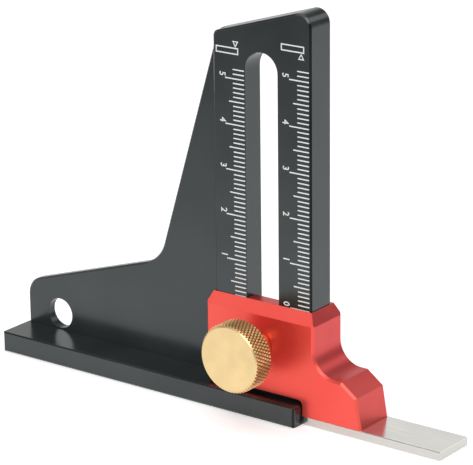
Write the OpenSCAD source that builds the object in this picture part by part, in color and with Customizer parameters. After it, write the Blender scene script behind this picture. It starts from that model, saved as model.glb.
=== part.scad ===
// Height gauge for a table saw: an upright with two centimetre scales, a clamped slider
// that runs on it, and a flat steel bar under the slider that touches the blade or the table.
// X runs along the base towards the bar, Y from the scale face to the back, Z up from the table.
// The origin is under the middle of the column, on the table, in the plane of the scale face.
// The slider is drawn at its lowest place, with the bar on the table.

/* [Column] */
// Width of the column that carries the scales
column_w = 25.3; // [24:0.1:36]
// Thickness of the column from the scale face to the back
column_t = 6.9; // [6.3:0.1:9]
// Height of the column's highest corner before rounding
column_h = 90.5; // [80:0.1:140]
// Slope of the column's top in degrees
top_slope = 16.8; // [0:0.1:20]
// Radius of the column's highest corner
peak_r = 3; // [1:0.1:5]
// Radius of the column's lower top corner
shoulder_r = 1.4; // [0.6:0.1:3]
// Width of the bevel along the front edges of the column and the plate
edge_bevel = 0.4; // [0.1:0.05:0.8]
// Width of the slot that the slider's key and stud run in
slot_w = 8.4; // [7.4:0.1:10]
// Metal between the highest corner and the top end of the slot
slot_head = 10.6; // [9:0.1:20]
// Metal between the foot of the column and the bottom end of the slot
slot_foot = 3; // [2:0.1:4]
// Width of the wider groove round the slot at the back
groove_w = 12; // [11.2:0.1:13]
// Depth of the groove at the back
groove_d = 1.6; // [1.2:0.1:2.4]

/* [Plate] */
// Thickness of the plate that braces the column
plate_t = 2.1; // [1.2:0.1:2.6]
// Reach of the plate beyond the column along the base
plate_reach = 58.5; // [50:0.5:90]
// Reach of the plate beyond the column at its top
plate_lip = 2.4; // [1.8:0.05:4]
// Lean of the plate's long sloping edge in degrees from upright
plate_lean = 17.1; // [12:0.1:20]
// Slope of the tail's upper edge in degrees
tail_slope = 17.4; // [12:0.1:20]
// Height of the tail's far corner before rounding
tail_h = 14.8; // [14:0.1:20]
// Radius of the tail's far corner
tail_r = 4.5; // [1:0.1:5]
// Radius of the hollow corner between the sloping edge and the tail
crook_r = 8; // [3:0.5:14]
// Radius of the corner where the sloping edge meets the top
plate_top_r = 3; // [1:0.1:4]
// Diameter of the hanging hole
hang_d = 7.1; // [5:0.1:7.4]
// Distance from the tail's end to the middle of the hanging hole
hang_inset = 9.6; // [7:0.1:14]
// Metal between the top of the rail and the hanging hole
hang_floor = 0.25; // [0.2:0.05:1.2]
// Depth that the plate's foot is let into the rail
foot_d = 2.6; // [1.5:0.1:2.7]

/* [Rail] */
// Height of the base rail
rail_h = 4.7; // [4.5:0.1:5.2]
// How far the rail stands in front of the scale face
rail_front = 4.45; // [3:0.05:10]
// How far the rail stops short of the column's bar side
rail_short = 1.6; // [1.4:0.05:2.4]
// Radius of the rail's rounded corners at the bar side
rail_r = 1; // [0.4:0.1:1.6]
// Width of the bevels along the rail's front
rail_bevel = 0.3; // [0.1:0.05:0.6]

/* [Slider] */
// Gap between the table and the underside of the slider block
block_z = 5.5; // [5.4:0.1:7]
// Height of the slider block
block_h = 19.76; // [18:0.02:26]
// Thickness of the slider's front wall with its clearance
front_wall = 1.42; // [1.35:0.01:3]
// Thickness of the slider's wall on the tail side with its clearance
tail_wall = 1.6; // [1.5:0.05:3]
// Thickness of the slider's wall on the bar side with its clearance
bar_wall = 1.45; // [1.4:0.05:2.5]
// Thickness of the lip behind the column with its clearance
back_lip = 2.35; // [1.5:0.01:4]
// Width of the lip behind the column
lip_w = 5.6; // [4:0.1:5.9]
// Height of the long bevel round the top of the block
crown_h = 2.73; // [1:0.01:4]
// Width of the long bevel round the top of the block
crown_w = 1.25; // [0.6:0.05:1.25]
// Width of the small bevels on the block's upright edges
block_bevel = 0.5; // [0.2:0.05:0.8]
// Depth of the key that the slider has in the slot
key_d = 2.7; // [1.5:0.1:2.8]
// Radius of the hollow between the block and its foot
cove_r = 5.5; // [3:0.1:6]
// Height of the flat top of the foot above the table
toe_h = 11.8; // [11:0.1:12]
// Length of the flat top of the foot
toe_flat = 1.55; // [0.6:0.05:3]
// Length of the sloping top of the foot
toe_run = 3.88; // [2:0.02:6]
// Drop of the sloping top of the foot
toe_drop = 2.85; // [1:0.05:4]
// How much further the foot reaches at the bar than at its upper corner
toe_taper = 1.17; // [0.2:0.01:3]
// Radius of the inner corner where the foot meets the underside of the block
notch_r = 1.3; // [0.5:0.1:2]

/* [Bar] */
// Thickness of the steel bar
bar_t = 2; // [1.7:0.1:3]
// Reach of the bar beyond the foot
bar_reach = 19.75; // [10:0.25:60]
// Width of the bevels on the bar
bar_bevel = 0.15; // [0.1:0.05:0.6]

/* [Knob] */
// Diameter of the knurled head
knob_d = 15.5; // [12:0.5:18]
// Length of the knurled head
knob_l = 5.5; // [4:0.1:8]
// Height of the knob's axis above the table
knob_z = 15.75; // [15.4:0.05:16.5]
// Diameter of the neck between the head and the slider
neck_d = 6.4; // [5.6:0.1:9]
// Length of the neck
neck_l = 5.5; // [3:0.1:8]
// Width of the bevels on the head's rims
knob_bevel = 0.6; // [0.2:0.1:1]
// Diameter of the stud
stud_d = 4; // [3:0.1:4.4]
// Depth of the stud in the head
stud_grip = 3; // [2:0.1:3.4]

/* [Clamp nut] */
// Thickness of the nut's plate in the groove
nut_plate_t = 1.3; // [0.9:0.05:1.5]
// Height of the nut
nut_h = 8; // [7:0.1:10]
// Gap between the nut's boss and the slider's key
nut_gap = 0.3; // [0.2:0.05:0.8]

/* [Screws] */
// Shank diameter of the countersunk screws
screw_d = 3; // [2.5:0.1:3]
// Head diameter of the countersunk screws
screw_head_d = 5.6; // [5:0.1:5.8]
// Depth that the screw heads are sunk below the face
screw_sunk = 0.1; // [0.05:0.05:0.2]
// Width across flats of the screws' hexagon sockets
socket_w = 2; // [1.5:0.1:2.4]
// Depth of the hexagon sockets
socket_d = 1.1; // [0.6:0.1:1.2]
// Length of the screws that hold the column
base_screw_l = 12; // [8:0.5:12]
// Length of the screws that hold the bar
bar_screw_l = 8; // [5:0.5:8]
// Distance from the foot's inner side to the first bar screw
bar_screw_inset = 5; // [4.8:0.1:5.5]
// Distance between the two bar screws
bar_screw_pitch = 6; // [6:0.1:7]

/* [Fits] */
// Clearance of the slider on the column and of the key in the slot
slide_clear = 0.08; // [0.03:0.01:0.1]
// Clearance of a stud or screw in its own thread
thread_clear = 0.04; // [0.02:0.01:0.06]
// Clearance of a screw or stud in a plain hole
hole_clear = 0.1; // [0.06:0.01:0.2]
// Wide clearance, of the slider's foot beside the rail and the plate, and of the nut in its groove
foot_clear = 0.2; // [0.1:0.05:0.3]

/* [Hidden] */
$fn = 96;

// How far cuts run past the faces that they open
overrun = 1;

// Share of its radius by which a rounding crosses the straight edges that it joins
seam_share = 0.0002;

// Share of its width by which a bevel is wider round a corner than along a straight edge
swell_share = 0.01;

// Share of its width by which a straight bevel runs on past its ends
lap_share = 0.125;

// Column and plate
column_x = column_w / 2;
column_z = rail_h;
shoulder_z = column_h - column_w * tan(top_slope);
slot_r = slot_w / 2;
slot_top_z = column_h - slot_head - slot_r;
slot_low_z = column_z + slot_foot + slot_r;
plate_y = column_t - plate_t;
plate_x = -column_x - plate_reach;
plate_top = [-column_x - plate_lip, column_h - (column_w + plate_lip) * tan(top_slope)];
crook = meeting(plate_top, 270 - plate_lean, [plate_x, tail_h], tail_slope);
crook_side = taken(crook_r, 90 + plate_lean + tail_slope);
crook_start = crook + dir(180 + tail_slope) * crook_side;
crook_end = crook + dir(90 - plate_lean) * crook_side;
crook_mid = crook_start + dir(90 + tail_slope) * crook_r;
hang_x = plate_x + hang_inset;
hang_z = rail_h + hang_floor + hang_d / 2;

// Rail
rail_x = column_x - rail_short;
rail_y = -rail_front;

// Slider
block_top = block_z + block_h;
block_left = -column_x - tail_wall;
block_right = column_x + bar_wall;
block_front = -front_wall;
block_back = column_t + back_lip;
inner_front = -slide_clear;
inner_back = column_t + slide_clear;
inner_x = column_x + slide_clear;
foot_x = rail_x + foot_clear;
cove = [block_right + cove_r, toe_h + cove_r];
toe_corner = [cove[0] + toe_flat + toe_run, toe_h - toe_drop];
toe_x = toe_corner[0] + toe_taper;
key_low = slot_low_z + slide_clear;

// Knob, stud and nut, measured forwards from the scale face
neck_start = front_wall + slide_clear / 2;
head_start = neck_start + neck_l;
head_end = head_start + knob_l;
stud_r = stud_d / 2;
stud_end = head_start + stud_grip;
groove_y = column_t - groove_d;
nut_front = groove_y + slide_clear / 2;
nut_back = nut_front + nut_plate_t;
nut_boss_y = key_d + nut_gap;

// Screws
screw_r = screw_d / 2;
head_r = screw_head_d / 2;
head_h = head_r - screw_r;
post_x = (column_x + slot_r) / 2;
post_y = groove_y - screw_r - screw_r / 4;
bar_y = (block_front + block_back) / 2;
bar_screw_x = foot_x + bar_screw_inset;
bar_x = foot_x + foot_clear * 2;
bar_end = toe_x + bar_reach;

// Unit vector at an angle
function dir(a) = [cos(a), sin(a)];

// Point where a line through p at angle a meets a line through q at angle b
function meeting(p, a, q, b) =
    p + dir(a) * ((q - p)[0] * sin(b) - (q - p)[1] * cos(b)) / sin(b - a);

// Point on the line from p to q, past q
function beyond(p, q) = q + (q - p) * overrun / norm(q - p);

// Length of an edge that a corner rounding of radius r takes, for an angle between its sides
function taken(r, angle) = r / tan(angle / 2);

// Region between a corner and its rounding: p is the corner, its free side lies from angle a to angle b
module corner(p, a, b, r) {
    mid = (a + b) / 2;
    half = (b - a) / 2;
    centre = p + dir(mid) * r / sin(half);
    start = p + dir(a) * taken(r, b - a);
    end = p + dir(b) * taken(r, b - a);
    difference() {
        polygon([start, start + dir(a - 90) * r / 4, p - dir(mid) * r / 2,
                 end + dir(b + 90) * r / 4, end, centre]);
        translate(centre) circle(r * (1 + seam_share));
    }
}

// Places drawings made in X and Z, with their third axis towards the front
module upright_plane() {
    rotate([90, 0, 0]) children();
}

// Gives a drawing in X and Z its thickness from y_front to y_back
module slab(y_front, y_back) {
    translate([0, y_back, 0]) upright_plane() linear_extrude(y_back - y_front) children();
}

// Cutter for a bevel along a straight front edge from p to q, in the drawing plane, which runs on
// into a rounding at the ends where lap is 1
module straight_bevel(p, q, size, lap = [1, 1]) {
    way = (q - p) / norm(q - p) * size * lap_share;
    start = p - way * lap[0];
    end = q + way * lap[1];
    side = size * sqrt(2);
    translate((start + end) / 2) rotate([45, 0, atan2(way[1], way[0])])
        cube([norm(end - start), side, side], center = true);
}

// Cutter for a bevel along a rounded or hollow front edge, from angle a through the angle turn
module round_bevel(centre, r, a, turn, size) {
    reach = size * (1 + swell_share);
    translate(centre) rotate(a) rotate_extrude(angle = turn)
        polygon([[r - reach, 0], [r, -reach], [r + reach, 0], [r, reach]]);
}

// Countersunk screw, head down, with its head's face at z = 0
module countersunk_screw(l) {
    difference() {
        union() {
            cylinder(r1 = head_r, r2 = screw_r, h = head_h);
            cylinder(r = screw_r, h = l);
        }
        translate([0, 0, -screw_sunk]) cylinder(d = socket_w / cos(30), h = socket_d + screw_sunk, $fn = 6);
    }
}

// Clearance hole with its countersink, opening at z = 0, for a screw sunk below that face
module countersunk_hole(l) {
    translate([0, 0, -overrun]) cylinder(r = screw_r + hole_clear, h = l + overrun * 2);
    translate([0, 0, screw_sunk]) cylinder(r1 = head_r + hole_clear, r2 = screw_r, h = head_h + hole_clear);
    translate([0, 0, -overrun]) cylinder(r = head_r + hole_clear, h = screw_sunk + overrun);
}

// Outline of a slot with round ends, in X and Z
module slot_outline(r) {
    translate([0, slot_top_z]) circle(r);
    translate([0, slot_low_z]) circle(r);
    translate([-r, slot_low_z]) square([r * 2, slot_top_z - slot_low_z]);
}

// Outline of the plate, its tail and the column in one
module upright_outline() {
    foot_z = rail_h - foot_d;
    difference() {
        polygon([[plate_x, foot_z], [-column_x, foot_z], [-column_x, column_z], [column_x, column_z],
                 [column_x, column_h], plate_top, crook_end, crook_mid, crook_start, [plate_x, tail_h]]);
        corner([column_x, column_h], 180 + top_slope, 270, peak_r);
        corner(plate_top, -90 - plate_lean, top_slope, plate_top_r);
        corner([plate_x, tail_h], -90, tail_slope, tail_r);
        translate(crook_mid) circle(crook_r * (1 + seam_share));
        translate([hang_x, hang_z]) circle(d = hang_d);
    }
}

// Bevels along the front edges of the column
module column_bevels() {
    peak = [column_x, column_h];
    shoulder = [-column_x, shoulder_z];
    peak_side = taken(peak_r, 90 - top_slope);
    shoulder_side = taken(shoulder_r, 90 + top_slope);
    peak_start = peak + dir(180 + top_slope) * peak_side;
    shoulder_start = shoulder + dir(top_slope) * shoulder_side;
    upright_plane() {
        straight_bevel([column_x, column_z - overrun], peak - [0, peak_side], edge_bevel);
        straight_bevel(peak_start, shoulder_start, edge_bevel);
        straight_bevel([-column_x, column_z - overrun], shoulder - [0, shoulder_side], edge_bevel);
        round_bevel(peak_start + dir(top_slope - 90) * peak_r, peak_r, 0, 90 + top_slope, edge_bevel);
        round_bevel(shoulder_start + dir(top_slope - 90) * shoulder_r, shoulder_r, 90 + top_slope,
                    90 - top_slope, edge_bevel);
    }
}

// Bevels along the front edges of the plate
module plate_bevels() {
    tail = [plate_x, tail_h];
    tail_side = taken(tail_r, 90 + tail_slope);
    tail_start = tail + dir(tail_slope) * tail_side;
    top_side = taken(plate_top_r, 90 + plate_lean + top_slope);
    top_start = plate_top + dir(top_slope) * top_side;
    translate([0, plate_y, 0]) upright_plane() {
        straight_bevel([plate_x, rail_h], tail - [0, tail_side], edge_bevel);
        round_bevel(tail_start + dir(tail_slope - 90) * tail_r, tail_r, 90 + tail_slope, 90 - tail_slope,
                    edge_bevel);
        straight_bevel(tail_start, crook_start, edge_bevel);
        round_bevel(crook_mid, crook_r, 270 + tail_slope, 90 - plate_lean - tail_slope, edge_bevel);
        straight_bevel(crook_end, plate_top - dir(90 - plate_lean) * top_side, edge_bevel);
        round_bevel(top_start + dir(top_slope - 90) * plate_top_r, plate_top_r, 90 + top_slope,
                    90 - plate_lean - top_slope, edge_bevel);
    }
}

module base_rail() {
    end = plate_x + rail_bevel;
    front = rail_y + rail_bevel;
    color([0.16, 0.17, 0.17]) difference() {
        intersection() {
            slab(rail_y, column_t) difference() {
                translate([plate_x, 0]) square([rail_x - plate_x, rail_h]);
                corner([rail_x, rail_h], 180, 270, rail_r);
            }
            linear_extrude(rail_h) difference() {
                polygon([[end, rail_y], [rail_x, rail_y], [rail_x, column_t], [plate_x, column_t],
                         [plate_x, front]]);
                corner([rail_x, rail_y], 90, 180, rail_r);
            }
            translate([plate_x, 0, 0]) rotate([90, 0, 90]) linear_extrude(rail_x - plate_x)
                polygon([[front, 0], [column_t, 0], [column_t, rail_h], [front, rail_h],
                         [rail_y, rail_h - rail_bevel], [rail_y, rail_bevel]]);
        }
        translate([plate_x - overrun, plate_y - thread_clear, rail_h - foot_d])
            cube([plate_reach + overrun + thread_clear, plate_t + thread_clear + overrun, foot_d + overrun]);
        for (x = [-post_x, post_x])
            translate([x, post_y, 0]) countersunk_hole(rail_h);
    }
}

module upright() {
    color([0.2, 0.21, 0.21]) difference() {
        slab(0, column_t) upright_outline();
        translate([plate_x - overrun, -overrun, 0])
            cube([plate_reach + overrun, plate_y + overrun, column_h]);
        slab(-overrun, plate_y) corner([-column_x, shoulder_z], -90, top_slope, shoulder_r);
        column_bevels();
        plate_bevels();
        slab(-overrun, column_t + overrun) slot_outline(slot_r);
        slab(groove_y, column_t + overrun) slot_outline(groove_w / 2);
        for (x = [-post_x, post_x])
            translate([x, post_y, 0])
                cylinder(r = screw_r + thread_clear, h = screw_sunk + base_screw_l + hole_clear);
    }
}

// Outline of the block with its foot, in X and Z
module block_outline() {
    polygon([[block_left, block_z], [foot_x, block_z], [foot_x, bar_t], [toe_x, bar_t], toe_corner,
             [cove[0] + toe_flat, toe_h], [cove[0], toe_h], [block_right, toe_h],
             [block_right, block_top - crown_h], [block_right - crown_w, block_top],
             [block_left + crown_w, block_top], [block_left, block_top - crown_h]]);
    corner([foot_x, block_z], 180, 270, notch_r);
    corner([block_right, toe_h], 0, 90, cove_r);
}

// Side view of the block, in Y and Z, that gives it its crown at the front and back
module block_side() {
    polygon([[block_front, bar_t], [block_back, bar_t], [block_back, block_top - crown_h],
             [block_back - crown_w, block_top], [block_front + crown_w, block_top],
             [block_front, block_top - crown_h]]);
}

// Bevels along the front edges of the block, or along the back ones when mirrored
module block_bevels() {
    upright_plane() {
        straight_bevel([block_left, block_z - overrun], [block_left, block_top], block_bevel, [0, 0]);
        straight_bevel([block_right, cove[1]], [block_right, block_top], block_bevel, [1, 0]);
        round_bevel(cove, cove_r, 180, 90, block_bevel);
        straight_bevel([cove[0], toe_h], [cove[0] + toe_flat, toe_h], block_bevel, [1, 0]);
        straight_bevel([cove[0] + toe_flat, toe_h], toe_corner, block_bevel, [0, 0]);
        straight_bevel(toe_corner, beyond(toe_corner, [toe_x, bar_t]), block_bevel, [0, 0]);
    }
}

// Room that the column and the plate take inside the block, open at the back but for the lip
module column_room() {
    tall = block_top + overrun;
    translate([-inner_x, inner_front, 0]) cube([inner_x * 2, inner_back - inner_front, tall]);
    translate([block_left - overrun, inner_back - overrun, 0])
        cube([column_x - lip_w - block_left + overrun, block_back - inner_back + overrun * 2, tall]);
    translate([block_left - overrun, plate_y - foot_clear, 0])
        cube([tail_wall - slide_clear + overrun * 2, block_back - plate_y + foot_clear + overrun, tall]);
}

module slider_block() {
    color([0.84, 0.12, 0.13]) difference() {
        union() {
            difference() {
                intersection() {
                    slab(block_front, block_back) block_outline();
                    translate([block_left, 0, 0]) rotate([90, 0, 90])
                        linear_extrude(toe_x - block_left) block_side();
                }
                translate([0, block_front, 0]) block_bevels();
                translate([0, block_back, 0]) mirror([0, 1, 0]) block_bevels();
                column_room();
            }
            translate([-slot_r + slide_clear, inner_front - slide_clear / 2, key_low])
                cube([slot_w - slide_clear * 2, key_d - inner_front + slide_clear / 2, block_top - key_low]);
        }
        translate([0, key_d + overrun, knob_z]) upright_plane()
            cylinder(r = stud_r + hole_clear, h = key_d + front_wall + overrun * 2);
        for (i = [0, 1])
            translate([bar_screw_x + i * bar_screw_pitch, bar_y, 0])
                cylinder(r = screw_r + thread_clear, h = screw_sunk + bar_screw_l + hole_clear);
    }
}

module gauge_bar() {
    end = bar_end - bar_bevel;
    top = bar_t - bar_bevel;
    front = block_front + bar_bevel;
    back = block_back - bar_bevel;
    color([0.8, 0.79, 0.77]) difference() {
        intersection() {
            slab(block_front, block_back)
                polygon([[bar_x, 0], [end, 0], [bar_end, bar_bevel], [bar_end, top], [end, bar_t],
                         [bar_x, bar_t]]);
            translate([bar_x, 0, 0]) rotate([90, 0, 90]) linear_extrude(bar_end - bar_x)
                polygon([[front, 0], [back, 0], [block_back, bar_bevel], [block_back, top], [back, bar_t],
                         [front, bar_t], [block_front, top], [block_front, bar_bevel]]);
        }
        // the inner end is cut out round the column
        translate([bar_x - overrun, inner_front, -overrun])
            cube([inner_x - bar_x + overrun, inner_back - inner_front, bar_t + overrun * 2]);
        for (i = [0, 1])
            translate([bar_screw_x + i * bar_screw_pitch, bar_y, 0]) countersunk_hole(bar_t);
    }
}

module lock_knob() {
    r = knob_d / 2;
    color([0.79, 0.62, 0.33]) translate([0, 0, knob_z]) upright_plane() difference() {
        rotate_extrude()
            polygon([[0, neck_start], [neck_d / 2, neck_start], [neck_d / 2, head_start],
                     [r - knob_bevel, head_start], [r, head_start + knob_bevel], [r, head_end - knob_bevel],
                     [r - knob_bevel, head_end], [0, head_end]]);
        translate([0, 0, neck_start - overrun])
            cylinder(r = stud_r + thread_clear, h = stud_end - neck_start + overrun + hole_clear);
    }
}

module knob_stud() {
    color([0.62, 0.63, 0.64]) translate([0, nut_back, knob_z]) upright_plane()
        cylinder(r = stud_r, h = nut_back + stud_end);
}

module clamp_nut() {
    boss_w = slot_w - slide_clear * 2;
    plate_w = groove_w - foot_clear * 2;
    color([0.55, 0.56, 0.57]) difference() {
        union() {
            translate([-boss_w / 2, nut_boss_y, knob_z - nut_h / 2])
                cube([boss_w, nut_back - nut_boss_y, nut_h]);
            translate([-plate_w / 2, nut_front, knob_z - nut_h / 2]) cube([plate_w, nut_plate_t, nut_h]);
        }
        translate([0, nut_back + overrun, knob_z]) upright_plane()
            cylinder(r = stud_r + thread_clear, h = nut_back - nut_boss_y + overrun * 2);
    }
}

module base_screw(x) {
    color([0.45, 0.46, 0.47]) translate([x, post_y, screw_sunk]) countersunk_screw(base_screw_l);
}

module bar_screw(i) {
    color([0.7, 0.71, 0.72]) translate([bar_screw_x + i * bar_screw_pitch, bar_y, screw_sunk])
        countersunk_screw(bar_screw_l);
}

base_rail();
upright();
base_screw(-post_x);  // base_screw_tail
base_screw(post_x);  // base_screw_bar
slider_block();
gauge_bar();
bar_screw(0);  // bar_screw_inner
bar_screw(1);  // bar_screw_outer
lock_knob();
knob_stud();
clamp_nut();
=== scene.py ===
import math
from collections import namedtuple

import bpy
from bpy.props import FloatProperty, FloatVectorProperty, IntProperty, PointerProperty
from mathutils import Matrix, Vector


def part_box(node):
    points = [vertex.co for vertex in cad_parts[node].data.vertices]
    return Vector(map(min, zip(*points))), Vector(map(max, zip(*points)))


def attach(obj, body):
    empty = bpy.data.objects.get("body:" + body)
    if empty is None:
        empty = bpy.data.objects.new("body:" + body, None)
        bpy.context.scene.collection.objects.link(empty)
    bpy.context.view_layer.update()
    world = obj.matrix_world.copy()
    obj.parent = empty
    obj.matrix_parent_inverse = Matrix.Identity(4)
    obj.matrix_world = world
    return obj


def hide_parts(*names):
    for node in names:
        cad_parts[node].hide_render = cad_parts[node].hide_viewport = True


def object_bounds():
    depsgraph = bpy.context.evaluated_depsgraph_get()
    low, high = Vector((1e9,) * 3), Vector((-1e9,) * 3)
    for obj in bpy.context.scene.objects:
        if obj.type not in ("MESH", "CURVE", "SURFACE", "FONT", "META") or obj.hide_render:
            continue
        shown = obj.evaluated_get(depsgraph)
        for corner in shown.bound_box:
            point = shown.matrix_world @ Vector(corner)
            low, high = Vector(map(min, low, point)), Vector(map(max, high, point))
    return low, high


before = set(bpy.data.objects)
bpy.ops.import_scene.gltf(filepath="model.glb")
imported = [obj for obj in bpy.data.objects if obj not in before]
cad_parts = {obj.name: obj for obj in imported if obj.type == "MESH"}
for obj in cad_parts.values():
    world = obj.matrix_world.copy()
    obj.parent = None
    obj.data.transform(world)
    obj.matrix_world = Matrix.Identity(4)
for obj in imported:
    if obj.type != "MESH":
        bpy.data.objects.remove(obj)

bl_info = {
    "name": "Table saw height gauge",
    "version": (1, 0, 0),
    "blender": (4, 5, 0),
    "location": "3D View > Sidebar > Height Gauge",
    "description": "Finishes, scales, knurled knob and studio of a table saw height gauge",
    "category": "Object",
}

CAD_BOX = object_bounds()
MM = 0.001
UPRIGHT_LOW, UPRIGHT_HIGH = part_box("upright")
BLOCK_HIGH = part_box("slider_block")[1]
BAR_LOW, BAR_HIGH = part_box("gauge_bar")
KNOB_LOW, KNOB_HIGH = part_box("lock_knob")
STUD_LOW, STUD_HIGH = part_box("knob_stud")

# The scales are printed on this face of the column
SCALE_FACE_Y = UPRIGHT_LOW[1]
# The outer scale is zero at the top of the block at rest, the inner one a bar's thickness lower
OUTER_ZERO_Z = BLOCK_HIGH[2]
INNER_ZERO_Z = OUTER_ZERO_Z - (BAR_HIGH[2] - BAR_LOW[2])
# Width of the slot in the column
SLOT_WIDTH = 8.4 * MM
# Millimetres from one long mark to the next, and from a long mark to a middle one
LONG_STEP = 10
MIDDLE_STEP = 5
# From the left ends of the long marks to the middle of the numerals
INNER_NUMERAL_GAP = 0.6 * MM
OUTER_NUMERAL_GAP = 0.9 * MM
# How far the numerals' outlines are widened, for letters of size 1, and the steps along a curve
NUMERAL_WIDENING = 0.012
NUMERAL_CURVE_STEPS = 4
# How far the print reaches into the metal, as a share of its height
INK_SINK_SHARE = 0.25
# Steps round the end of a printed line
LINE_END_STEPS = 6

# Over each scale stand a frame and a triangle: the scale's name, X and Z of the frame's middle,
# and the triangle's side of the frame, which is 1 above it and -1 below it
TOP_MARKS = (("inner", -8.83 * MM, OUTER_ZERO_Z + 53.98 * MM, 1),
             ("outer", 8.07 * MM, OUTER_ZERO_Z + 56.65 * MM, -1))
# X of the triangle from the frame's middle
TRIANGLE_X = 2.2 * MM
# From the frame to the triangle's middle, and from there to its corners
TRIANGLE_GAP = 0.95 * MM
TRIANGLE_SIZE = 0.92 * MM
# How much nearer to its middle the triangle's inner corners lie, in widths of its line
TRIANGLE_LINES = 1.6

# The knob turns on this axis, which runs towards the front
KNOB_X = (KNOB_LOW[0] + KNOB_HIGH[0]) / 2
KNOB_Z = (KNOB_LOW[2] + KNOB_HIGH[2]) / 2
KNOB_RADIUS = (KNOB_HIGH[0] - KNOB_LOW[0]) / 2
STUD_RADIUS = (STUD_HIGH[0] - STUD_LOW[0]) / 2
# Samples along one knurl
KNURL_SAMPLES = 6
# How high the knurls' points would stand without their flat tops, as a share of their depth
POINT_SHARE = 1.25
# Radii of the rings across the knob's face, as shares of the face's radius
FACE_RING_SHARES = (0.8, 0.5, 0.2)
# Painted shade in the knurling starts this far below the knurls' tops and is gone from the
# chamfers this far below them, as shares of the knurling's depth
GROOVE_SHADE_SHARE = 0.45
UNSHADED_SHARE = 1.9

# Most of a finish's noise lies between these two values
NOISE_LOW = 0.3
NOISE_HIGH = 0.7
# Width of the fine rings on turned metal, and how finely its noise and the others are divided
RING_SIZE = 0.07 * MM
NOISE_DETAIL = 2.0
# Samples of the normal that rounds the edges, and the cosines of its turn from the flat normal
# where wear starts and where it is full
EDGE_SAMPLES = 6
WEAR_START = 0.999
WEAR_FULL = 0.93
# The normal's parts along X and Y have a product of 0.5 half way between the front and a side.
# Bevels start at the first of these products, and are full at the second
BEVEL_START = 0.42
BEVEL_FULL = 0.48
WHITE = (1.0, 1.0, 1.0, 1.0)
BLACK = (0.0, 0.0, 0.0, 1.0)

# How far the studio's floor lies below the rail, so that the two never share a plane
FLOOR_GAP = 0.02 * MM
# Corners of the round floor
FLOOR_CORNERS = 96
# Y where painted shade starts to darken the floor towards the front and where it ends, and the
# share left there
FLOOR_DIM_START = -0.06
FLOOR_DIM_END = -0.26
FLOOR_DIM_SHARE = 0.35
# Heights, as sines of the angle above the horizon, between which the sky's light falls
WALL_TOP = 0.42
CEILING = 0.58
# Sines of the angle towards the bar's side between which the sky dims, and the share left there
DIM_START = 0.1
DIM_END = 0.6
DIM_SHARE = 0.38
# Name of each soft light and of the setting for its power, its place and width, and the point
# that all of them face
LIGHTS = (("overhead", (-0.1, 0.05, 0.75), 0.9),
          ("right", (0.36, 0.74, 0.55), 0.35),
          ("front", (0.28, -0.435, 0.51), 0.42),
          ("left", (-0.6, -0.75, 0.5), 0.2))
LIGHT_TARGET = (0.0, 0.0, 0.04)
# The camera's place, its directions to the right and forwards, its lens and its picture's shift
CAMERA_PLACE = (0.31483, -0.42622, 0.21254)
CAMERA_RIGHT = (0.79763, 0.60303, -0.01203)
CAMERA_FORWARD = (-0.57775, 0.75817, -0.30228)
CAMERA_LENS = 200.16
CAMERA_SHIFT = (0.0249, -0.0353)
# Nearest and furthest distance that the camera sees
CAMERA_NEAR = 0.01
CAMERA_FAR = 20.0


def length(name, description, default, top):
    """A size in metres that shows as a length in the panel."""
    return FloatProperty(name=name, description=description, default=default, min=0.0, max=top,
                         precision=6, unit="LENGTH", subtype="DISTANCE")


def tint(name, description, default):
    """A colour, kept in linear light."""
    return FloatVectorProperty(name=name, description=description, default=default, size=3,
                               min=0.0, max=1.0, subtype="COLOR")


def glow(name, description, default):
    """Brightness of a surface that gives off light."""
    return FloatProperty(name=name, description=description, default=default, min=0.0, max=5.0)


def watts(name, description, default):
    """Power of a light."""
    return FloatProperty(name=name, description=description, default=default, min=0.0, max=100.0,
                         unit="POWER")


class GaugeScaleSizes(bpy.types.PropertyGroup):
    """Sizes of the printed scales."""

    line_width: length("Line width", "Width of every printed line", 0.27 * MM, 1 * MM)
    ink_height: length("Ink height", "How far the print stands out of the metal",
                       0.02 * MM, 0.1 * MM)
    short_mark: length("Millimetre mark", "Length of a millimetre mark", 3.0 * MM, 8 * MM)
    middle_mark: length("Half mark", "Length of a five millimetre mark", 4.05 * MM, 8 * MM)
    long_mark: length("Centimetre mark", "Length of a centimetre mark", 5.05 * MM, 8 * MM)
    inner_edge: length("Edge gap at the slot", "From the slot's side to the inner scale's marks",
                       0.2 * MM, 2 * MM)
    outer_edge: length("Edge gap outside", "From the column's side to the outer scale's marks",
                       0.45 * MM, 2 * MM)
    marks: IntProperty(name="Marks", description="Number of millimetre marks above zero",
                       default=52, min=10, max=60)
    numeral_height: length("Numeral height", "Height of the numerals", 1.6 * MM, 4 * MM)
    numeral_width: length("Numeral width", "Width of a round numeral", 0.95 * MM, 3 * MM)
    numeral_lift: length("Numeral lift", "From a centimetre mark up to the middle of its numeral",
                         0.75 * MM, 2 * MM)
    frame_width: length("Frame width", "Width of the frames over the scales", 5.9 * MM, 9 * MM)
    frame_height: length("Frame height", "Height of the frames over the scales",
                         1.5 * MM, 4 * MM)


class GaugeKnobSizes(bpy.types.PropertyGroup):
    """Sizes of the knurled knob."""

    knurls: IntProperty(name="Knurls", description="Number of knurls round the head",
                        default=58, min=20, max=120)
    knurl_depth: length("Knurl depth", "Depth of the knurling", 0.42 * MM, 1 * MM)
    knurl_length: length("Knurl length", "Length of one knurl along the head", 1.5 * MM, 3 * MM)
    head_length: length("Head length", "Length of the knurled head", 5.5 * MM, 12 * MM)
    chamfer: length("Chamfer", "Width of the chamfers on the head's rims", 0.7 * MM, 2 * MM)
    neck_diameter: length("Neck diameter", "Diameter of the neck behind the head",
                          6.4 * MM, 12 * MM)
    neck_chamfer: length("Neck chamfer", "Width of the chamfer at the neck's end",
                         0.25 * MM, 1 * MM)
    bore_gap: length("Bore gap", "Gap between the stud and its bore in the head",
                     0.04 * MM, 1 * MM)


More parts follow.
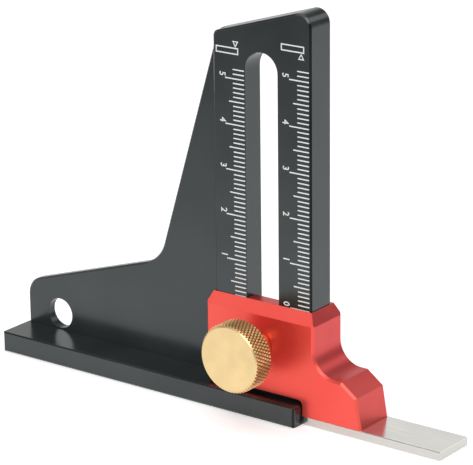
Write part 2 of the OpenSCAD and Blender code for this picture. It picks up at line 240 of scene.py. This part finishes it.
class GaugeColours(bpy.types.PropertyGroup):
    """Colours of the finishes."""

    black: tint("Black anodising", "Colour of the rail and the upright", (0.004, 0.006, 0.007))
    black_shine: tint("Black shine", "Colour of what the black anodising reflects",
                      (0.90, 0.985, 1.0))
    black_worn: tint("Worn black", "Colour of the black anodising at its sharp edges",
                     (0.05, 0.053, 0.054))
    red: tint("Red anodising", "Colour of the slider block", (0.86, 0.084, 0.066))
    # Painted shade with a whitish painted sheen, on the block's faces that look to a side or up
    red_cut: tint("Cut red", "Colour of the slider block on the faces cut across its front",
                  (0.65, 0.066, 0.066))
    red_worn: tint("Worn red", "Colour of the red anodising at its sharp edges",
                   (0.92, 0.17, 0.13))
    steel: tint("Steel", "Colour of the gauge bar", (0.87, 0.855, 0.81))
    brass: tint("Brass", "Colour of the knob", (0.80, 0.60, 0.31))
    # Painted shade down in the knurling's grooves
    brass_dark: tint("Dark brass", "Colour of the brass down in the knurling",
                     (0.66, 0.25, 0.08))
    dark_steel: tint("Dark steel", "Colour of the screws in the rail", (0.09, 0.09, 0.095))
    bright_steel: tint("Bright steel", "Colour of the bar's screws, the stud and the nut",
                       (0.58, 0.58, 0.59))
    ink: tint("Ink", "Colour of the printed scales", (0.86, 0.87, 0.86))
    floor: tint("Floor", "Colour of the studio floor", (0.93, 0.93, 0.93))


class GaugeStudioSettings(bpy.types.PropertyGroup):
    """Strengths of the studio's lights, and the size of its floor."""

    horizon: glow("Horizon", "Brightness of the studio's walls", 0.85)
    zenith: glow("Zenith", "Brightness of the studio's ceiling", 0.2)
    floor_glow: glow("Floor glow", "Light that the floor gives off", 0.38)
    overhead: watts("Overhead", "Watts of the large light above", 3.2)
    right: watts("Right", "Watts of the light at the back right", 0.4)
    front: watts("Front", "Watts of the light in front, which the bevels reflect", 1.9)
    left: watts("Left", "Watts of the light at the front left, which the block's top bevel "
                "reflects", 0.28)
    floor_radius: FloatProperty(name="Floor radius", description="Radius of the round floor",
                                default=3.0, min=0.5, max=10.0, unit="LENGTH", subtype="DISTANCE")


def rgba(colour, share=1.0):
    """A colour property as four numbers, made lighter or darker by a share."""
    return (colour[0] * share, colour[1] * share, colour[2] * share, 1.0)


class Finish:
    """One new node material, with short calls that add its nodes and link them."""

    def __init__(self, name):
        self.material = bpy.data.materials.new(name)
        self.material.use_nodes = True
        self.nodes = self.material.node_tree.nodes
        self.links = self.material.node_tree.links
        self.nodes.clear()
        self.surface = self.nodes.new("ShaderNodeBsdfPrincipled")
        output = self.nodes.new("ShaderNodeOutputMaterial")
        self.links.new(self.surface.outputs["BSDF"], output.inputs["Surface"])

    def fill(self, node, sockets):
        """Sets the named sockets of a node, or links them where another node's output is given."""
        for name, value in sockets.items():
            if isinstance(value, bpy.types.NodeSocket):
                self.links.new(value, node.inputs[name])
            else:
                node.inputs[name].default_value = value
        return node

    def node(self, kind, sockets, **settings):
        """Adds a node of that kind, with these sockets and settings."""
        node = self.nodes.new(kind)
        for name, value in settings.items():
            setattr(node, name, value)
        return self.fill(node, sockets)

    def vector(self, operation, *values, output="Vector"):
        """One step of vector arithmetic."""
        node = self.node("ShaderNodeVectorMath", dict(enumerate(values)), operation=operation)
        return node.outputs[output]

    def number(self, operation, *values):
        """One step of arithmetic."""
        node = self.node("ShaderNodeMath", dict(enumerate(values)), operation=operation)
        return node.outputs["Value"]

    def place(self, stretch=(1.0, 1.0, 1.0)):
        """The place on the object, stretched along its axes."""
        place = self.node("ShaderNodeTexCoord", {}).outputs["Object"]
        return self.vector("MULTIPLY", place, stretch)

    def noise(self, place, size, detail=NOISE_DETAIL):
        """Noise with features of that size in metres."""
        sockets = {"Vector": place, "Scale": 1.0 / size, "Detail": detail}
        return self.node("ShaderNodeTexNoise", sockets).outputs["Fac"]

    def spread(self, value, low, high, lowest, highest):
        """Carries a value from one range to another, and keeps it there."""
        sockets = {"Value": value, "From Min": low, "From Max": high,
                   "To Min": lowest, "To Max": highest}
        return self.node("ShaderNodeMapRange", sockets).outputs["Result"]

    def mask(self, value, start=0.0, full=1.0, most=1.0):
        """A share that grows from 0 to most as the value goes from start to full."""
        return self.spread(value, start, full, 0.0, most)

    def varied(self, noise, lowest=0.0, highest=1.0):
        """A value that follows a noise."""
        return self.spread(noise, NOISE_LOW, NOISE_HIGH, lowest, highest)

    def blend(self, share, first, second):
        """Mixes two colours."""
        node = self.node("ShaderNodeMix", {}, data_type="RGBA")
        # A mix node has sockets for each kind of data: these are its share and its two colours
        self.fill(node, {0: share, 6: first, 7: second})
        return node.outputs[2]

    def clouded(self, cloud, colour, darkest, lightest):
        """A colour that follows a noise between two shares of itself."""
        return self.blend(self.varied(cloud), rgba(colour, darkest), rgba(colour, lightest))

    def flat_normal(self):
        """The direction of the face itself, without any bump."""
        return self.node("ShaderNodeNewGeometry", {}).outputs["Normal"]

    def edges(self, reach):
        """A mask that is 1 along sharp outer edges, and the normal that rounds them off."""
        bevel = self.node("ShaderNodeBevel", {"Radius": reach}, samples=EDGE_SAMPLES)
        soft = bevel.outputs["Normal"]
        turn = self.vector("DOT_PRODUCT", soft, self.flat_normal(), output="Value")
        return self.mask(turn, WEAR_START, WEAR_FULL), soft

    def along(self, axis):
        """How squarely faces look along an axis, one way or the other, from 0 to 1."""
        parts = self.node("ShaderNodeSeparateXYZ", {"Vector": self.flat_normal()}).outputs
        return self.number("ABSOLUTE", parts[axis])

    def facing(self, axis, start, full):
        """A mask that grows from 0 to 1 as faces turn to look along the axis."""
        return self.mask(self.along(axis), start, full)

    def upright_bevels(self):
        """A mask that is 1 on faces turned half way between the front and a side."""
        both = self.number("MULTIPLY", self.along("X"), self.along("Y"))
        return self.mask(both, BEVEL_START, BEVEL_FULL)

    def bump(self, height, depth, strength, normal=None):
        """The normal of a fine relief, laid over another normal if one is given."""
        sockets = {"Height": height, "Distance": depth, "Strength": strength}
        if normal is not None:
            sockets["Normal"] = normal
        return self.node("ShaderNodeBump", sockets).outputs["Normal"]


def anodised(name, colour, cut, worn, shine, metallic, roughness, ior, bevel_shine=None):
    """Bead-blasted and anodised aluminium: fine grain, slow changes of tone, worn edges.

    cut is the colour of faces that look to a side or up, a painted shade with a whitish painted
    sheen, shine the colour of what the skin reflects, and bevel_shine the share of that left on
    upright bevels, which weakens their reflection as painted shade.
    """
    finish = Finish(name)
    place = finish.place()
    grain = finish.noise(place, size=0.10 * MM, detail=3.0)
    cloud = finish.noise(place, size=14 * MM, detail=3.0)
    worn_edge, soft = finish.edges(reach=0.12 * MM)
    # Painted shade with a whitish painted sheen: faces that look to a side or up take the cut
    # colour
    face = finish.blend(finish.facing("Y", start=0.35, full=0.6), rgba(cut), rgba(colour))
    tone = finish.blend(finish.mask(cloud, start=0.35, full=0.65, most=0.2), face, rgba(worn))
    speckle = finish.blend(finish.mask(grain, start=0.55, full=0.75, most=0.08), tone, rgba(worn))
    finish.fill(finish.surface, {
        "Base Color": finish.blend(finish.mask(worn_edge, most=0.45), speckle, rgba(worn)),
        "Metallic": metallic,
        "IOR": ior,
        "Specular Tint": rgba(shine),
        "Roughness": finish.varied(cloud, lowest=roughness * 0.95, highest=roughness * 1.06),
        "Normal": finish.bump(grain, depth=0.003 * MM, strength=0.15, normal=soft),
    })
    # Painted shade: on upright bevels the reflection is weakened, which darkens them
    if bevel_shine is not None:
        level = finish.surface.inputs["Specular IOR Level"].default_value
        bevels = finish.upright_bevels()
        finish.fill(finish.surface, {
            "Specular IOR Level": finish.spread(bevels, 0.0, 1.0, level, level * bevel_shine),
        })
    return finish.material


def brushed(name, colour):
    """Ground and brushed steel: long fine lines along the bar, and darker faces that don't look up.
    """
    finish = Finish(name)
    lines = finish.noise(finish.place(stretch=(0.012, 1.0, 1.0)), size=0.06 * MM, detail=3.0)
    broad = finish.noise(finish.place(stretch=(0.05, 1.0, 1.0)), size=0.8 * MM)
    cloud = finish.noise(finish.place(), size=9 * MM)
    worn_edge, soft = finish.edges(reach=0.1 * MM)
    tone = finish.clouded(cloud, colour, darkest=0.95, lightest=1.05)
    line_share = finish.mask(lines, start=0.35, full=0.7, most=0.35)
    ground = finish.blend(line_share, tone, rgba(colour, share=0.72))
    # Faces that don't look up take a darker copy of the colour
    face = finish.blend(finish.facing("Z", start=0.5, full=0.8), rgba(colour, share=0.68), ground)
    finish.fill(finish.surface, {
        "Base Color": finish.blend(finish.mask(worn_edge, most=0.3), face, rgba(colour)),
        "Metallic": 1.0,
        "Roughness": finish.varied(broad, lowest=0.16, highest=0.24),
        "Normal": finish.bump(lines, depth=0.004 * MM, strength=0.3, normal=soft),
    })
    return finish.material


def turned(name, colour, dark=None, depth=0.0):
    """Turned metal: fine rings round the knob's axis, and painted shade down in any knurling."""
    finish = Finish(name)
    place = finish.place()
    centred = finish.vector("SUBTRACT", place, (KNOB_X, 0.0, KNOB_Z))
    across = finish.vector("MULTIPLY", centred, (1.0, 0.0, 1.0))
    radius = finish.vector("LENGTH", across, output="Value")
    sockets = {"W": radius, "Scale": 1.0 / RING_SIZE, "Detail": NOISE_DETAIL}
    rings = finish.node("ShaderNodeTexNoise", sockets, noise_dimensions="1D").outputs["Fac"]
    cloud = finish.noise(place, size=4 * MM, detail=3.0)
    speck = finish.noise(place, size=0.15 * MM)
    tone = finish.clouded(cloud, colour, darkest=0.93, lightest=1.06)
    # Painted shade: the dark colour fills the knurling's grooves, but not the knob's face or
    # chamfers
    if dark is not None:
        floor = KNOB_RADIUS - depth
        sunk = finish.spread(radius, floor, KNOB_RADIUS - depth * GROOVE_SHADE_SHARE, 1.0, 0.0)
        rim = finish.mask(radius, start=KNOB_RADIUS - depth * UNSHADED_SHARE, full=floor)
        knurled = finish.blend(finish.number("MULTIPLY", sunk, rim), tone, rgba(dark))
        tone = finish.blend(finish.facing("Y", start=0.5, full=0.66), knurled, tone)
    finish.fill(finish.surface, {
        "Base Color": tone,
        "Metallic": 1.0,
        "Roughness": finish.varied(speck, lowest=0.3, highest=0.4),
        "Normal": finish.bump(rings, depth=0.003 * MM, strength=0.3),
    })
    return finish.material


def fastener(name, colour, roughness):
    """Machined steel of the small fasteners, with light marks of the tool and dull spots."""
    finish = Finish(name)
    place = finish.place()
    marks = finish.noise(place, size=0.2 * MM, detail=3.0)
    cloud = finish.noise(place, size=1.5 * MM)
    worn_edge, soft = finish.edges(reach=0.08 * MM)
    tone = finish.clouded(cloud, colour, darkest=0.85, lightest=1.1)
    worn = rgba(colour, share=1.4)
    finish.fill(finish.surface, {
        "Base Color": finish.blend(finish.mask(worn_edge, most=0.5), tone, worn),
        "Metallic": 1.0,
        "Roughness": finish.varied(marks, lowest=roughness * 0.8, highest=roughness * 1.2),
        "Normal": finish.bump(marks, depth=0.004 * MM, strength=0.3, normal=soft),
    })
    return finish.material


def printed(name, colour):
    """White ink in the laser-cut marks: slightly uneven and matt."""
    finish = Finish(name)
    fleck = finish.noise(finish.place(), size=0.12 * MM)
    thin = rgba(colour, share=0.8)
    finish.fill(finish.surface, {
        "Base Color": finish.blend(finish.mask(fleck, start=0.35, full=0.75), rgba(colour), thin),
        "Roughness": 0.6,
        "Normal": finish.bump(fleck, depth=0.004 * MM, strength=0.3),
    })
    return finish.material


def floor_paint(name, colour, strength):
    """Matt pale board that also gives off light, and darkens in front as painted shade."""
    finish = Finish(name)
    place = finish.place()
    fleck = finish.noise(place, size=2 * MM)
    depth = finish.node("ShaderNodeSeparateXYZ", {"Vector": place}).outputs["Y"]
    # Painted shade: the colour and the glow fall off towards the front
    bright = finish.spread(depth, FLOOR_DIM_END, FLOOR_DIM_START, FLOOR_DIM_SHARE, 1.0)
    tone = finish.blend(fleck, rgba(colour, share=0.995), rgba(colour, share=1.005))
    finish.fill(finish.surface, {
        "Base Color": finish.blend(bright, BLACK, tone),
        "Roughness": 0.9,
        "Emission Color": WHITE,
        "Emission Strength": finish.mask(bright, most=strength),
    })
    return finish.material


def dress(node, material):
    """Gives a carried-over CAD node its finish."""
    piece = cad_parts[node]
    if not piece.material_slots:
        piece.data.materials.append(None)
    for slot in piece.material_slots:
        slot.link = "OBJECT"
        slot.material = material


def new_piece(name, points, faces, material, body):
    """A new mesh object that rides on a body, or is part of the stage where body is None."""
    mesh = bpy.data.meshes.new(name)
    mesh.from_pydata(points, [], faces)
    mesh.materials.append(material)
    mesh.validate()
    piece = bpy.data.objects.new(name, mesh)
    bpy.context.scene.collection.objects.link(piece)
    bpy.context.view_layer.update()
    if body is None:
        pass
    else:
        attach(piece, body)
    return piece


class Print:
    """Gathers thin raised shapes on the scale face. Drawings are in X and Z."""

    def __init__(self, height):
        self.points = []
        self.faces = []
        self.front = SCALE_FACE_Y - height
        self.back = SCALE_FACE_Y + height * INK_SINK_SHARE

    def layer(self, outline, y):
        """Adds an outline's corners at that depth, and gives their numbers."""
        start = len(self.points)
        self.points.extend((x, y, z) for x, z in outline)
        return list(range(start, len(self.points)))

    def solid(self, outline):
        """A filled shape. The outline runs anticlockwise as seen from the front."""
        front = self.layer(outline, self.front)
        back = self.layer(outline, self.back)
        self.faces.append(front)
        self.faces.append(back[::-1])
        for i in range(len(outline)):
            j = (i + 1) % len(outline)
            self.faces.append((front[j], front[i], back[i], back[j]))

    def ring(self, outer, inner):
        """A shape with a hole, between two outlines with the same number of corners."""
        loops = [self.layer(outer, self.front), self.layer(inner, self.front),
                 self.layer(inner, self.back), self.layer(outer, self.back)]
        for near, far in zip(loops, loops[1:] + loops[:1]):
            for i in range(len(outer)):
                j = (i + 1) % len(outer)
                self.faces.append((near[i], near[j], far[j], far[i]))

    def line(self, left, right, z, width):
        """A level line with round ends."""
        radius = width / 2
        outline = []
        for centre, start in ((right - radius, -90.0), (left + radius, 90.0)):
            for step in range(LINE_END_STEPS + 1):
                angle = math.radians(start + 180.0 * step / LINE_END_STEPS)
                outline.append((centre + radius * math.cos(angle), z + radius * math.sin(angle)))
        self.solid(outline)

    def stamp(self, points, faces):
        """A ready shape. Its points give X, Z and the depth, from -0.5 at the back to 0.5."""
        start = len(self.points)
        for x, z, depth in points:
            self.points.append((x, self.front * (0.5 + depth) + self.back * (0.5 - depth), z))
        self.faces.extend([start + i for i in face] for face in faces)

    def piece(self, name, material):
        """Makes the gathered shapes one piece on the column."""
        return new_piece(name, self.points, self.faces, material, "frame")


def numeral_shape(digit):
    """Corners and faces of a plain numeral, 1 high and 1 thick, with its middle at the origin."""
    curve = bpy.data.curves.new("numeral", "FONT")
    curve.body = str(digit)
    curve.extrude = 0.5
    curve.offset = NUMERAL_WIDENING
    curve.resolution_u = NUMERAL_CURVE_STEPS
    holder = bpy.data.objects.new("numeral", curve)
    bpy.context.scene.collection.objects.link(holder)
    bpy.context.view_layer.update()
    evaluated = holder.evaluated_get(bpy.context.evaluated_depsgraph_get())
    mesh = bpy.data.meshes.new_from_object(evaluated)
    points = [tuple(v.co) for v in mesh.vertices]
    faces = [tuple(p.vertices) for p in mesh.polygons]
    bpy.data.objects.remove(holder)
    bpy.data.curves.remove(curve)
    bpy.data.meshes.remove(mesh)
    left, right = min(p[0] for p in points), max(p[0] for p in points)
    bottom, top = min(p[1] for p in points), max(p[1] for p in points)
    tall = top - bottom
    return [((x - (left + right) / 2) / tall, (y - (bottom + top) / 2) / tall, depth)
            for x, y, depth in points], faces


Scale = namedtuple("Scale", "name right zero gap first")


def both_scales(sizes):
    """The inner and the outer scale.

    right is the X of the marks' right ends, zero the Z of the lowest mark, gap the way from the
    long marks to the numerals' middle, and first the lowest numeral.
    """
    return (Scale("inner", -SLOT_WIDTH / 2 - sizes.inner_edge, INNER_ZERO_Z, INNER_NUMERAL_GAP, 1),
            Scale("outer", UPRIGHT_HIGH[0] - sizes.outer_edge, OUTER_ZERO_Z, OUTER_NUMERAL_GAP, 0))


def mark_length(number, sizes):
    """Length of the mark at that number of millimetres."""
    if number % LONG_STEP == 0:
        return sizes.long_mark
    if number % MIDDLE_STEP == 0:
        return sizes.middle_mark
    return sizes.short_mark


def rectangle(x, z, width, height, inset=0.0):
    """Corners of a rectangle round a middle, drawn in on every side by the inset."""
    across = width / 2 - inset
    up = height / 2 - inset
    return [(x - across, z - up), (x + across, z - up), (x + across, z + up), (x - across, z + up)]


def triangle(x, z, size, side):
    """Corners of a triangle round a middle, which points down where side is 1 and up at -1."""
    angles = [math.radians(angle) for angle in ((90, 210, 330) if side < 0 else (90, 330, 210))]
    return [(x + size * math.cos(a), z - side * size * math.sin(a)) for a in angles]


def plain_rings(sizes):
    """Radius and Y of the knob's rings, from the bore's floor round the neck to the head."""
    bore = STUD_RADIUS + sizes.bore_gap
    bore_end = STUD_LOW[1] - sizes.bore_gap
    neck = sizes.neck_diameter / 2
    neck_back = KNOB_HIGH[1]
    head_back = KNOB_LOW[1] + sizes.head_length
    return [(bore / 2, bore_end), (bore, bore_end), (bore, neck_back),
            (neck - sizes.neck_chamfer, neck_back), (neck, neck_back - sizes.neck_chamfer),
            (neck, head_back), ((neck + KNOB_RADIUS) / 2, head_back)]


def knurled_rings(sizes, count):
    """Radii and Y of the rings along the knob's head, from its back to its front.

    Grooves slant both ways round the head and leave diamonds, which the rims' chamfers cut off.
    """
    front = KNOB_LOW[1]
    head_back = front + sizes.head_length
    rows = round(sizes.head_length / sizes.knurl_length * KNURL_SAMPLES)
    rings = []
    for row in range(rows + 1):
        y = head_back - sizes.head_length * row / rows
        from_rim = min(head_back - y, y - front)
        profile = KNOB_RADIUS - max(0.0, sizes.chamfer - from_rim)
        ring = []
        for step in range(count):
            slants = ((step + row) / KNURL_SAMPLES % 1.0, (step - row) / KNURL_SAMPLES % 1.0)
            point = min(1.0 - abs(2.0 * slant - 1.0) for slant in slants)
            crest = min(1.0, point * POINT_SHARE)
            ring.append(min(profile, KNOB_RADIUS - sizes.knurl_depth * (1.0 - crest)))
        rings.append((ring, y))
    return rings


def knob_mesh(sizes):
    """Points and faces of the knob, from the bore's floor round the outside to its face."""
    count = sizes.knurls * KNURL_SAMPLES
    front = KNOB_LOW[1]
    plain = [([radius] * count, y) for radius, y in plain_rings(sizes)]
    knurled = knurled_rings(sizes, count)
    face = [([(KNOB_RADIUS - sizes.chamfer) * share] * count, front) for share in FACE_RING_SHARES]
    rings = plain + knurled + face
    points = [(KNOB_X, rings[0][1], KNOB_Z)]
    for ring, y in rings:
        for step, radius in enumerate(ring):
            angle = 2 * math.pi * step / count
            points.append((KNOB_X + radius * math.cos(angle), y, KNOB_Z + radius * math.sin(angle)))
    last = len(points)
    points.append((KNOB_X, front, KNOB_Z))

    faces = []
    for step in range(count):
        after = (step + 1) % count
        faces.append((0, 1 + step, 1 + after))
        faces.append((last, last - count + after, last - count + step))
    for level in range(len(rings) - 1):
        near = 1 + level * count
        far = near + count
        row = level - len(plain)
        for step in range(count):
            after = (step + 1) % count
            a, b, c, d = near + step, far + step, far + after, near + after
            if row < 0 or row >= len(knurled) - 1:
                faces.append((a, b, c, d))
            elif (step + row) % 2 == 0:
                faces.extend(((a, b, c), (a, c, d)))
            else:
                faces.extend(((a, b, d), (b, c, d)))
    return points, faces


def soft_light(name, place, width, power):
    """A large square light that faces the object."""
    light = bpy.data.lights.new(name, "AREA")
    light.shape = "SQUARE"
    light.size = width
    light.energy = power
    lamp = bpy.data.objects.new(name, light)
    lamp.location = place
    way = Vector(LIGHT_TARGET) - Vector(place)
    lamp.rotation_euler = way.to_track_quat("-Z", "Y").to_euler()
    bpy.context.scene.collection.objects.link(lamp)


def studio_sky(horizon, zenith):
    """Soft light from all round, weaker from the ceiling and from the bar's side."""
    world = bpy.data.worlds.new("studio_sky")
    world.use_nodes = True
    nodes = world.node_tree.nodes
    links = world.node_tree.links
    place = nodes.new("ShaderNodeTexCoord")
    parts = nodes.new("ShaderNodeSeparateXYZ")
    links.new(place.outputs["Generated"], parts.inputs["Vector"])
    both = nodes.new("ShaderNodeMath")
    both.operation = "MULTIPLY"
    falls = (("Z", (WALL_TOP, CEILING, horizon, zenith)),
             ("X", (DIM_START, DIM_END, 1.0, DIM_SHARE)))
    for index, (axis, values) in enumerate(falls):
        fall = nodes.new("ShaderNodeMapRange")
        fall.interpolation_type = "SMOOTHSTEP"
        for name, value in zip(("From Min", "From Max", "To Min", "To Max"), values):
            fall.inputs[name].default_value = value
        links.new(parts.outputs[axis], fall.inputs["Value"])
        links.new(fall.outputs["Result"], both.inputs[index])
    background = nodes["Background"]
    background.inputs["Color"].default_value = WHITE
    links.new(both.outputs["Value"], background.inputs["Strength"])
    return world


def photo_camera():
    """The camera at the photograph's viewing angle."""
    camera = bpy.data.cameras.new("camera")
    camera.lens = CAMERA_LENS
    camera.shift_x, camera.shift_y = CAMERA_SHIFT
    camera.clip_start = CAMERA_NEAR
    camera.clip_end = CAMERA_FAR
    holder = bpy.data.objects.new("camera", camera)
    forward = Vector(CAMERA_FORWARD).normalized()
    right = Vector(CAMERA_RIGHT).normalized()
    up = right.cross(forward).normalized()
    turn = Matrix((right, up, -forward)).transposed().to_4x4()
    holder.matrix_world = Matrix.Translation(CAMERA_PLACE) @ turn
    bpy.context.scene.collection.objects.link(holder)
    return holder


class GAUGE_OT_black_metal(bpy.types.Operator):
    """Gives the rail and the upright their black anodised finish"""

    bl_idname = "height_gauge.black_metal"
    bl_label = "Black anodised rail and upright"

    def execute(self, context):
        colours = context.scene.gauge_colours
        material = anodised("black_anodised", colours.black, colours.black, colours.black_worn,
                            colours.black_shine, metallic=0.0, roughness=0.22, ior=1.65,
                            bevel_shine=0.2)
        dress("base_rail", material)
        dress("upright", material)
        return {"FINISHED"}


class GAUGE_OT_red_block(bpy.types.Operator):
    """Gives the slider block its red anodised finish"""

    bl_idname = "height_gauge.red_block"
    bl_label = "Red anodised slider block"

    def execute(self, context):
        colours = context.scene.gauge_colours
        dress("slider_block", anodised("red_anodised", colours.red, colours.red_cut,
                                       colours.red_worn, WHITE, metallic=0.72, roughness=0.34,
                                       ior=1.5))
        return {"FINISHED"}


class GAUGE_OT_steel_bar(bpy.types.Operator):
    """Gives the gauge bar its brushed steel finish"""

    bl_idname = "height_gauge.steel_bar"
    bl_label = "Brushed steel bar"

    def execute(self, context):
        dress("gauge_bar", brushed("bar_steel", context.scene.gauge_colours.steel))
        return {"FINISHED"}


class GAUGE_OT_fasteners(bpy.types.Operator):
    """Gives the screws, the stud and the nut their steel finishes"""

    bl_idname = "height_gauge.fasteners"
    bl_label = "Screws, stud and nut"

    def execute(self, context):
        colours = context.scene.gauge_colours
        dark = fastener("dark_screw_steel", colours.dark_steel, roughness=0.4)
        bright = fastener("screw_steel", colours.bright_steel, roughness=0.32)
        dress("base_screw_tail", dark)
        dress("base_screw_bar", dark)
        dress("bar_screw_inner", bright)
        dress("bar_screw_outer", bright)
        dress("clamp_nut", bright)
        dress("knob_stud", turned("stud_steel", colours.bright_steel))
        return {"FINISHED"}


class GAUGE_OT_scale_marks(bpy.types.Operator):
    """Prints the millimetre marks of the two scales"""

    bl_idname = "height_gauge.scale_marks"
    bl_label = "Millimetre marks"

    def execute(self, context):
        sizes = context.scene.gauge_scale
        material = printed("scale_ink", context.scene.gauge_colours.ink)
        for scale in both_scales(sizes):
            ink = Print(sizes.ink_height)
            for number in range(sizes.marks + 1):
                left = scale.right - mark_length(number, sizes)
                ink.line(left, scale.right, scale.zero + number * MM, sizes.line_width)
            ink.piece(scale.name + "_scale_marks", material)
        return {"FINISHED"}


class GAUGE_OT_numerals(bpy.types.Operator):
    """Prints the centimetre numerals beside the two scales, turned on their sides"""

    bl_idname = "height_gauge.numerals"
    bl_label = "Numerals"

    def execute(self, context):
        sizes = context.scene.gauge_scale
        material = printed("numeral_ink", context.scene.gauge_colours.ink)
        round_width = max(x for x, y, depth in numeral_shape(0)[0]) * 2
        squeeze = sizes.numeral_width / (sizes.numeral_height * round_width)
        for scale in both_scales(sizes):
            ink = Print(sizes.ink_height)
            middle_x = scale.right - sizes.long_mark - scale.gap
            for number in range(scale.first, sizes.marks // LONG_STEP + 1):
                middle_z = scale.zero + number * LONG_STEP * MM + sizes.numeral_lift
                shape, faces = numeral_shape(number)
                ink.stamp([(middle_x + y * sizes.numeral_height,
                            middle_z - x * sizes.numeral_height * squeeze, depth)
                           for x, y, depth in shape], faces)
            ink.piece(scale.name + "_numerals", material)
        return {"FINISHED"}


class GAUGE_OT_top_marks(bpy.types.Operator):
    """Prints a frame and a triangle over each scale"""

    bl_idname = "height_gauge.top_marks"
    bl_label = "Frames and triangles"

    def execute(self, context):
        sizes = context.scene.gauge_scale
        material = printed("top_mark_ink", context.scene.gauge_colours.ink)
        line = sizes.line_width
        for name, x, z, side in TOP_MARKS:
            ink = Print(sizes.ink_height)
            ink.ring(rectangle(x, z, sizes.frame_width, sizes.frame_height),
                     rectangle(x, z, sizes.frame_width, sizes.frame_height, inset=line))
            tip_x = x + TRIANGLE_X
            tip_z = z + side * (sizes.frame_height / 2 + TRIANGLE_GAP)
            ink.ring(triangle(tip_x, tip_z, TRIANGLE_SIZE, side),
                     triangle(tip_x, tip_z, TRIANGLE_SIZE - line * TRIANGLE_LINES, side))
            ink.piece(name + "_top_mark", material)
        return {"FINISHED"}


class GAUGE_OT_knurled_knob(bpy.types.Operator):
    """Makes the brass knob with its diamond knurling"""

    bl_idname = "height_gauge.knurled_knob"
    bl_label = "Knurled brass knob"

    def execute(self, context):
        sizes = context.scene.gauge_knob
        colours = context.scene.gauge_colours
        points, faces = knob_mesh(sizes)
        material = turned("knob_brass", colours.brass, colours.brass_dark, sizes.knurl_depth)
        knob = new_piece("knurled_knob", points, faces, material, "knob")
        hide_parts("lock_knob")
        return {"FINISHED"}


class GAUGE_OT_studio(bpy.types.Operator):
    """Makes the pale floor, the soft lights and the camera"""

    bl_idname = "height_gauge.studio"
    bl_label = "Studio"

    def execute(self, context):
        studio = context.scene.gauge_studio
        level = CAD_BOX[0][2] - FLOOR_GAP
        points = [(0.0, 0.0, level)]
        for step in range(FLOOR_CORNERS):
            angle = 2 * math.pi * step / FLOOR_CORNERS
            points.append((studio.floor_radius * math.cos(angle),
                           studio.floor_radius * math.sin(angle), level))
        faces = [(0, 1 + step, 1 + (step + 1) % FLOOR_CORNERS) for step in range(FLOOR_CORNERS)]
        paint = floor_paint("floor_paint", context.scene.gauge_colours.floor, studio.floor_glow)
        new_piece("studio_floor", points, faces, paint, None)

        for name, place, width in LIGHTS:
            soft_light(name + "_light", place, width, getattr(studio, name))
        context.scene.world = studio_sky(studio.horizon, studio.zenith)
        context.scene.view_settings.view_transform = "Standard"
        context.scene.camera = photo_camera()
        return {"FINISHED"}


OPERATORS = (GAUGE_OT_black_metal, GAUGE_OT_red_block, GAUGE_OT_steel_bar, GAUGE_OT_fasteners,
             GAUGE_OT_scale_marks, GAUGE_OT_numerals, GAUGE_OT_top_marks, GAUGE_OT_knurled_knob,
             GAUGE_OT_studio)
SETTINGS = (("gauge_scale", GaugeScaleSizes), ("gauge_knob", GaugeKnobSizes),
            ("gauge_colours", GaugeColours), ("gauge_studio", GaugeStudioSettings))


class GAUGE_PT_panel(bpy.types.Panel):
    """Lists the pieces and their sizes and colours in the sidebar"""

    bl_idname = "GAUGE_PT_panel"
    bl_label = "Height gauge"
    bl_space_type = "VIEW_3D"
    bl_region_type = "UI"
    bl_category = "Height Gauge"

    def draw(self, context):
        column = self.layout.column()
        for operator in OPERATORS:
            column.operator(operator.bl_idname, text=operator.bl_label)
        for name, kind in SETTINGS:
            settings = getattr(context.scene, name)
            box = self.layout.box()
            for key in kind.__annotations__:
                box.prop(settings, key)


def register():
    for name, kind in SETTINGS:
        bpy.utils.register_class(kind)
        setattr(bpy.types.Scene, name, PointerProperty(type=kind))
    for operator in OPERATORS:
        bpy.utils.register_class(operator)
    bpy.utils.register_class(GAUGE_PT_panel)


def unregister():
    bpy.utils.unregister_class(GAUGE_PT_panel)
    for operator in reversed(OPERATORS):
        bpy.utils.unregister_class(operator)
    for name, kind in reversed(SETTINGS):
        delattr(bpy.types.Scene, name)
        bpy.utils.unregister_class(kind)


def main():
    register()
    bpy.ops.height_gauge.black_metal()
    bpy.ops.height_gauge.red_block()
    bpy.ops.height_gauge.steel_bar()
    bpy.ops.height_gauge.fasteners()
    bpy.ops.height_gauge.scale_marks()
    bpy.ops.height_gauge.numerals()
    bpy.ops.height_gauge.top_marks()
    bpy.ops.height_gauge.knurled_knob()
    bpy.ops.height_gauge.studio()


if __name__ == "__main__":
    main()
